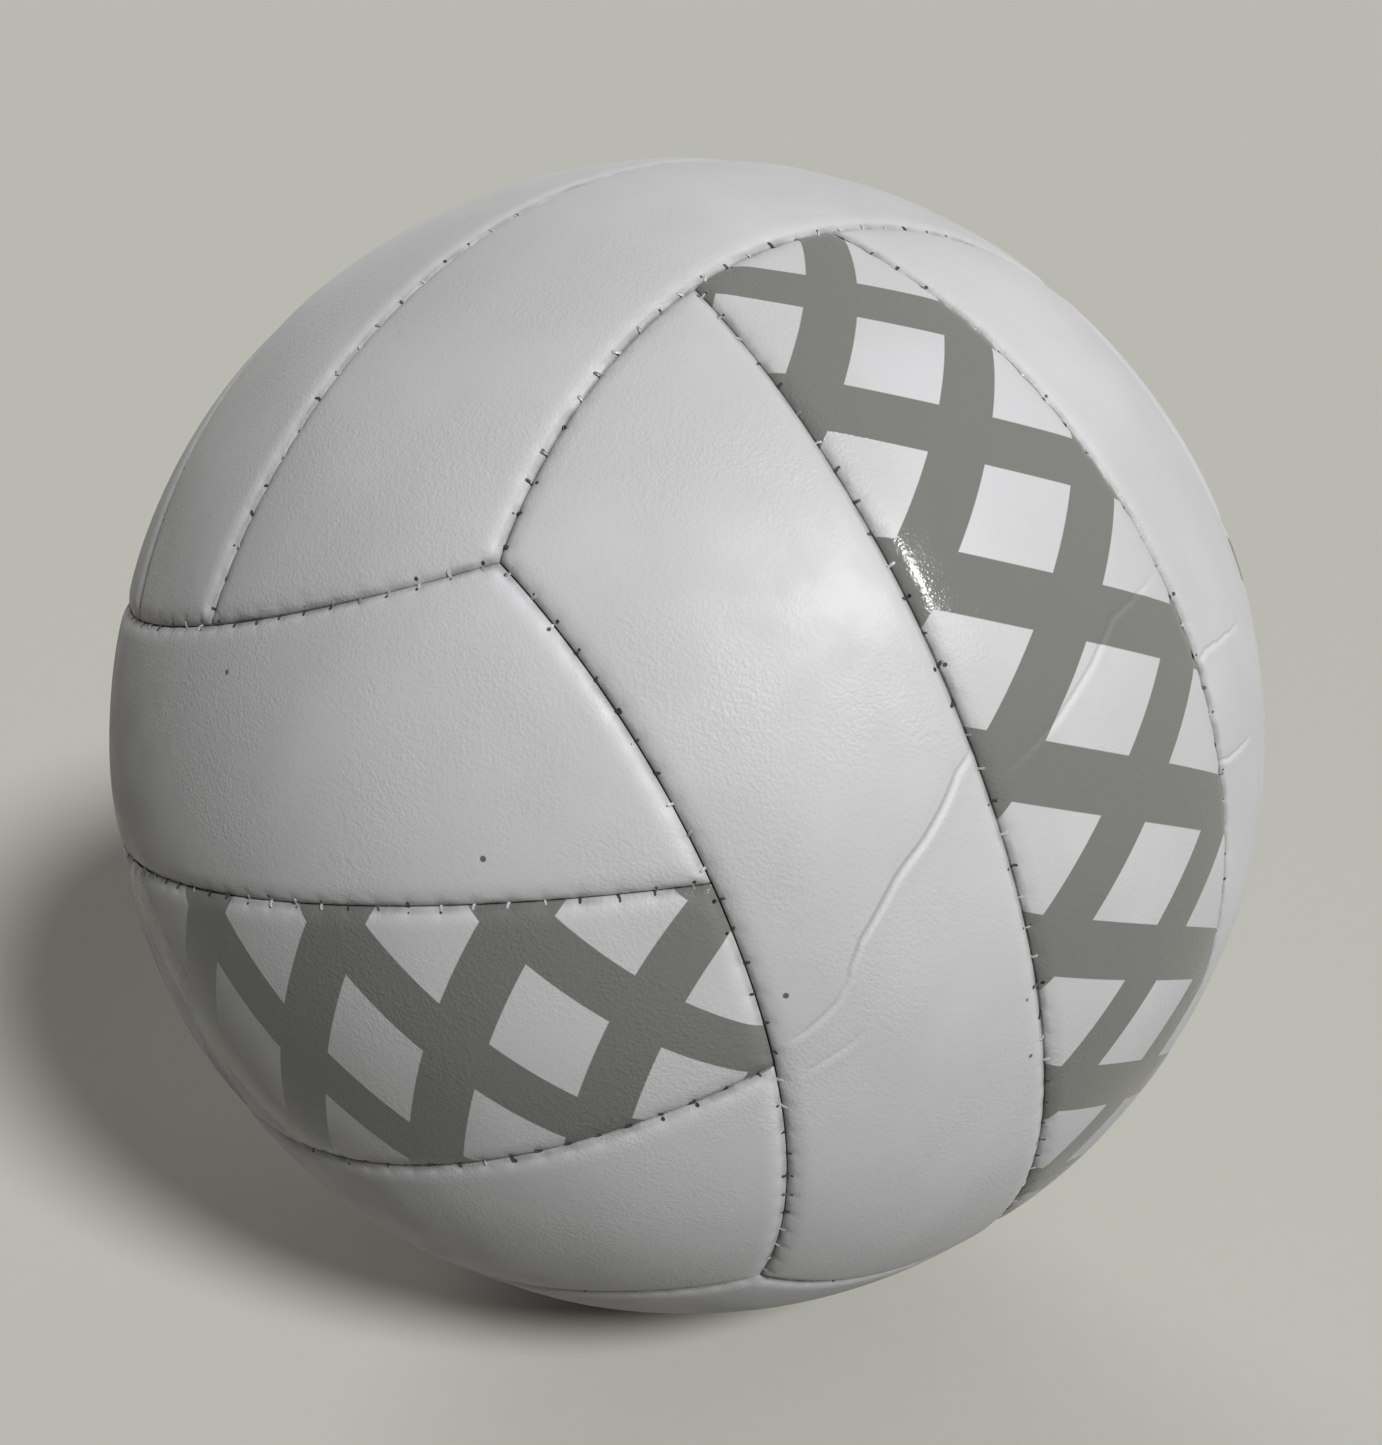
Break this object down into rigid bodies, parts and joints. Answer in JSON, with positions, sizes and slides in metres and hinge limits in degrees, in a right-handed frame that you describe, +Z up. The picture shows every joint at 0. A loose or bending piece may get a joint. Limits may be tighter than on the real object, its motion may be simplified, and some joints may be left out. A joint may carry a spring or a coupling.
{
  "type": "volleyball",
  "caption": "Hand-sewn ball of white and grey leather strips in crossed groups over foam pads, with an inflated bladder and a needle valve.",
  "frame": {"origin": "centre of the ball", "axes": "+Z up with the ball lying as pictured, -Y towards the picture's camera"},
  "size_m": [0.21, 0.21, 0.21],
  "materials": {
    "white_cover": "satin",
    "printed_cover": "satin",
    "foam_pad": "matte",
    "thread": "satin",
    "bladder_rubber": "matte",
    "valve_rubber": "matte"
  },
  "bodies": {
    "root": {"cover_top_middle": "white_cover", "pad_top_middle": "foam_pad", "cover_top_back": "white_cover", "pad_top_back": "foam_pad", "cover_top_front": "white_cover", "pad_top_front": "foam_pad", "stitches_top_dividers": "thread", "stitches_top_edges": "thread", "cover_bottom_middle": "white_cover", "pad_bottom_middle": "foam_pad", "cover_bottom_front": "white_cover", "pad_bottom_front": "foam_pad", "cover_bottom_back": "white_cover", "pad_bottom_back": "foam_pad", "stitches_bottom_dividers": "thread", "stitches_bottom_edges": "thread", "cover_right_middle": "printed_cover", "pad_right_middle": "foam_pad", "cover_right_upper": "white_cover", "pad_right_upper": "foam_pad", "cover_right_lower": "white_cover", "pad_right_lower": "foam_pad", "stitches_right_dividers": "thread", "stitches_right_edges": "thread", "cover_left_middle": "printed_cover", "pad_left_middle": "foam_pad", "cover_left_lower": "white_cover", "pad_left_lower": "foam_pad", "cover_left_upper": "white_cover", "pad_left_upper": "foam_pad", "stitches_left_dividers": "thread", "stitches_left_edges": "thread", "cover_back_middle": "printed_cover", "pad_back_middle": "foam_pad", "cover_back_right": "white_cover", "pad_back_right": "foam_pad", "cover_back_left": "white_cover", "pad_back_left": "foam_pad", "stitches_back_dividers": "thread", "stitches_back_edges": "thread", "cover_front_middle": "printed_cover", "pad_front_middle": "foam_pad", "cover_front_left": "white_cover", "pad_front_left": "foam_pad", "cover_front_right": "white_cover", "pad_front_right": "foam_pad", "stitches_front_dividers": "thread", "stitches_front_edges": "thread", "bladder": "bladder_rubber", "valve_housing": "bladder_rubber", "valve_core": "valve_rubber"}
  },
  "joints": []
}
